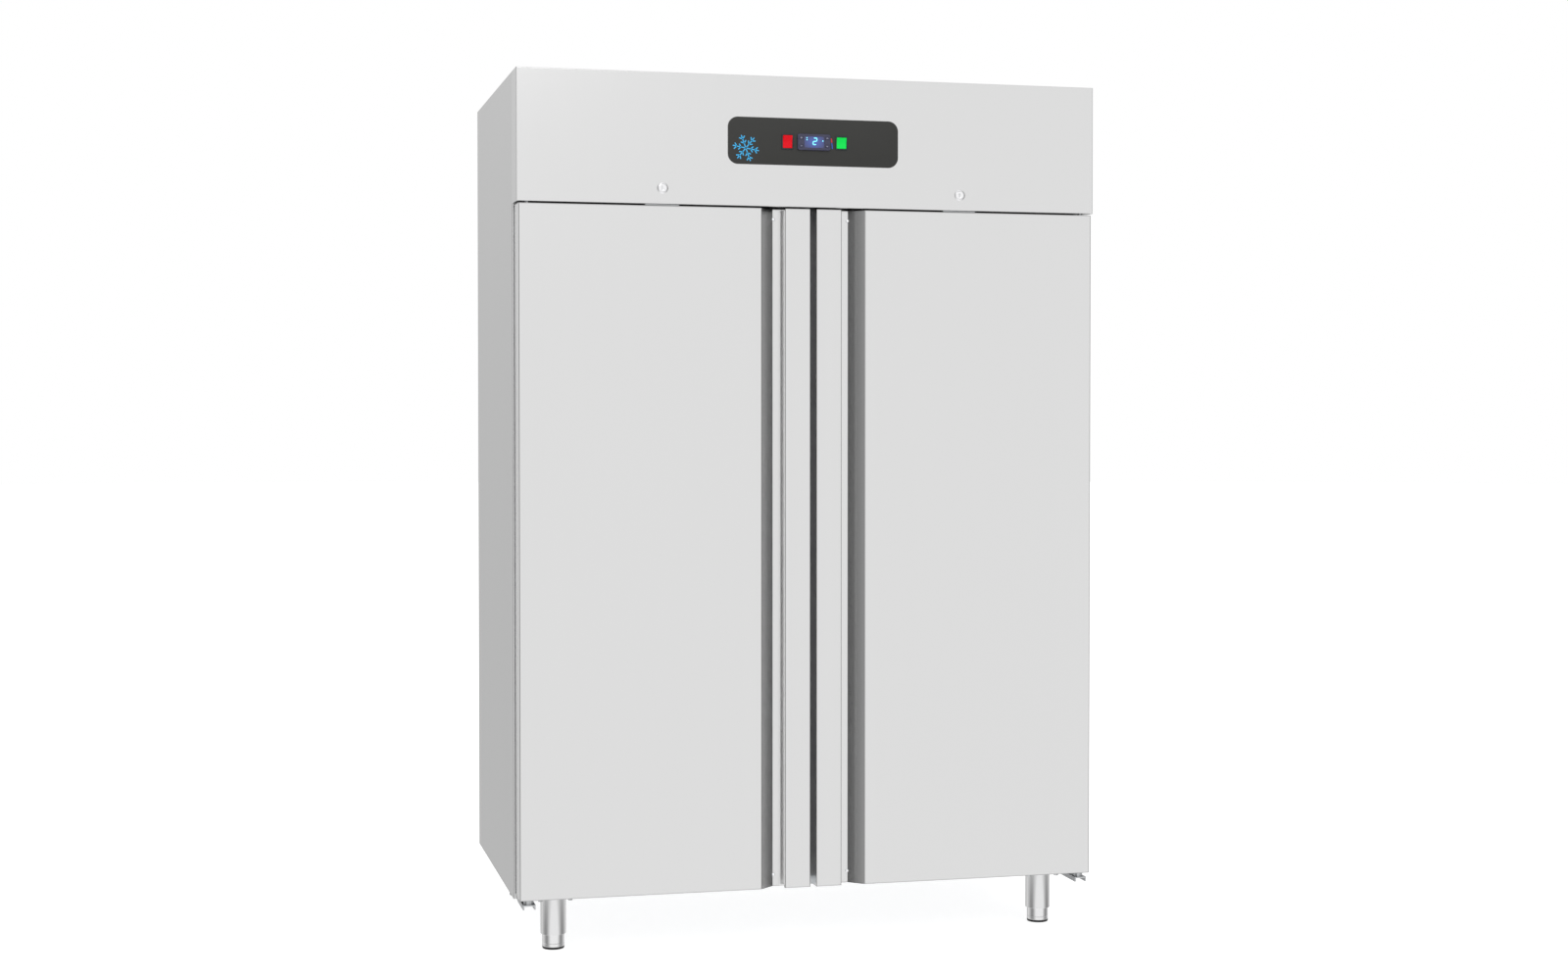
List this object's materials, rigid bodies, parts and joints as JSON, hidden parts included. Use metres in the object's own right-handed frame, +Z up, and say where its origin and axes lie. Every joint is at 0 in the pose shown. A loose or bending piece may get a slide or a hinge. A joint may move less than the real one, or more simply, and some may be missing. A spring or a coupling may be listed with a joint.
{
  "type": "upright refrigerator",
  "caption": "Upright stainless steel kitchen refrigerator with side-by-side doors, recessed full-height grips, wire shelves and a machine space behind the fascia, on round legs.",
  "frame": {"origin": "on the floor, under the middle of the cabinet's bounding box", "axes": "+X to the right seen from the front, +Y towards the back, +Z up"},
  "size_m": [1.4, 0.8082, 2.045],
  "materials": {
    "stainless_front": "satin",
    "stainless_side": "satin",
    "stainless_leg": "satin",
    "stainless_liner": "satin",
    "galvanised": "matte",
    "hinge_steel": "satin",
    "foam": "matte",
    "frame_plastic": "matte",
    "cap_plastic": "matte",
    "plate_charcoal": "satin",
    "thermostat_blue": "gloss",
    "display_blue": "gloss",
    "switch_black": "satin",
    "rocker_red": "gloss",
    "rocker_green": "gloss",
    "key_plastic": "satin",
    "lock_chrome": "polished",
    "gasket_grey": "matte",
    "foot_rubber": "matte",
    "grommet_rubber": "matte",
    "shelf_coating": "satin",
    "cover_white": "satin",
    "fin_aluminium": "satin",
    "fan_black": "matte",
    "motor_black": "satin",
    "compressor_black": "satin",
    "copper": "satin",
    "box_grey": "matte"
  },
  "bodies": {
    "cabinet": {"side_panel_left": "stainless_side", "side_panel_right": "stainless_side", "back_panel": "galvanised", "base_panel": "galvanised", "machine_deck": "galvanised", "insulation_foam": "foam", "inner_liner": "stainless_liner", "door_frame": "frame_plastic", "fascia_panel": "stainless_front", "control_plate": "plate_charcoal", "thermostat_housing": "thermostat_blue", "display_window": "display_blue", "switch_frames": "switch_black", "lock_barrels": "lock_chrome", "upper_hinges": "hinge_steel", "lower_hinges": "hinge_steel", "leg_tubes": "stainless_leg", "shelf_posts": "stainless_liner", "shelf_runners": "stainless_liner", "wire_shelves": "shelf_coating", "evaporator_cover": "cover_white", "evaporator_coil": "fin_aluminium", "fan_motors": "motor_black", "condenser_coil": "fin_aluminium", "fan_shroud": "galvanised", "compressor": "compressor_black", "compressor_grommets": "grommet_rubber", "refrigerant_pipes": "copper", "electrical_box": "box_grey"},
    "left_door": {"door_skin_left": "stainless_front", "grip_profile_left": "stainless_front", "door_foam_left": "foam", "door_panel_left": "stainless_liner", "door_gasket_left": "gasket_grey", "door_caps_left": "cap_plastic"},
    "right_door": {"door_skin_right": "stainless_front", "grip_profile_right": "stainless_front", "door_foam_right": "foam", "door_panel_right": "stainless_liner", "door_gasket_right": "gasket_grey", "door_caps_right": "cap_plastic"},
    "left_lock": {"lock_plug_left": "lock_chrome"},
    "right_lock": {"lock_plug_right": "lock_chrome"},
    "red_rocker": {"red_rocker": "rocker_red"},
    "green_rocker": {"green_rocker": "rocker_green"},
    "key_upper_left": {"key_upper_left": "key_plastic"},
    "key_upper_right": {"key_upper_right": "key_plastic"},
    "key_lower_left": {"key_lower_left": "key_plastic"},
    "key_lower_right": {"key_lower_right": "key_plastic"},
    "evaporator_fan_left": {"evaporator_fan_left": "fan_black"},
    "evaporator_fan_right": {"evaporator_fan_right": "fan_black"},
    "condenser_fan": {"condenser_fan": "fan_black"},
    "foot_front_left": {"foot_sleeve_front_left": "stainless_leg", "foot_pad_front_left": "foot_rubber"},
    "foot_rear_left": {"foot_sleeve_rear_left": "stainless_leg", "foot_pad_rear_left": "foot_rubber"},
    "foot_front_right": {"foot_sleeve_front_right": "stainless_leg", "foot_pad_front_right": "foot_rubber"},
    "foot_rear_right": {"foot_sleeve_rear_right": "stainless_leg", "foot_pad_rear_right": "foot_rubber"}
  },
  "joints": [
    {"name": "left_door_hinge", "type": "hinge", "parent": "cabinet", "child": "left_door", "pos_m": [-0.6735, -0.37592, 0.136], "axis": [0, 0, -1], "range_deg": [0, 110]},
    {"name": "right_door_hinge", "type": "hinge", "parent": "cabinet", "child": "right_door", "pos_m": [0.6735, -0.37592, 0.136], "axis": [0, 0, 1], "range_deg": [0, 110]},
    {"name": "left_lock_turn", "type": "hinge", "parent": "cabinet", "child": "left_lock", "pos_m": [-0.361, -0.39592, 1.777], "axis": [0, 1, 0], "range_deg": [0, 90]},
    {"name": "right_lock_turn", "type": "hinge", "parent": "cabinet", "child": "right_lock", "pos_m": [0.361, -0.39592, 1.777], "axis": [0, -1, 0], "range_deg": [0, 90]},
    {"name": "red_rocker_tip", "type": "hinge", "parent": "cabinet", "child": "red_rocker", "pos_m": [-0.064, -0.39792, 1.8925], "axis": [-1, 0, 0], "range_deg": [0, 16]},
    {"name": "green_rocker_tip", "type": "hinge", "parent": "cabinet", "child": "green_rocker", "pos_m": [0.067, -0.39792, 1.8925], "axis": [-1, 0, 0], "range_deg": [0, 16]},
    {"name": "key_upper_left_press", "type": "slide", "parent": "cabinet", "child": "key_upper_left", "axis": [0, 1, 0], "range_m": [0, 0.0008], "stiffness_N_per_m": 1000},
    {"name": "key_upper_right_press", "type": "slide", "parent": "cabinet", "child": "key_upper_right", "axis": [0, 1, 0], "range_m": [0, 0.0008], "stiffness_N_per_m": 1000},
    {"name": "key_lower_left_press", "type": "slide", "parent": "cabinet", "child": "key_lower_left", "axis": [0, 1, 0], "range_m": [0, 0.0008], "stiffness_N_per_m": 1000},
    {"name": "key_lower_right_press", "type": "slide", "parent": "cabinet", "child": "key_lower_right", "axis": [0, 1, 0], "range_m": [0, 0.0008], "stiffness_N_per_m": 1000},
    {"name": "evaporator_fan_left_spin", "type": "hinge", "parent": "cabinet", "child": "evaporator_fan_left", "pos_m": [-0.215, 0.00208, 1.594], "axis": [0, -1, 0], "continuous": true},
    {"name": "evaporator_fan_right_spin", "type": "hinge", "parent": "cabinet", "child": "evaporator_fan_right", "pos_m": [0.215, 0.00208, 1.594], "axis": [0, -1, 0], "continuous": true},
    {"name": "condenser_fan_spin", "type": "hinge", "parent": "cabinet", "child": "condenser_fan", "pos_m": [0.006, 0.04, 1.879], "axis": [-1, 0, 0], "continuous": true},
    {"name": "foot_front_left_screw", "type": "slide", "parent": "cabinet", "child": "foot_front_left", "axis": [0, 0, -1], "range_m": [0, 0.03]},
    {"name": "foot_rear_left_screw", "type": "slide", "parent": "cabinet", "child": "foot_rear_left", "axis": [0, 0, -1], "range_m": [0, 0.03]},
    {"name": "foot_front_right_screw", "type": "slide", "parent": "cabinet", "child": "foot_front_right", "axis": [0, 0, -1], "range_m": [0, 0.03]},
    {"name": "foot_rear_right_screw", "type": "slide", "parent": "cabinet", "child": "foot_rear_right", "axis": [0, 0, -1], "range_m": [0, 0.03]}
  ]
}
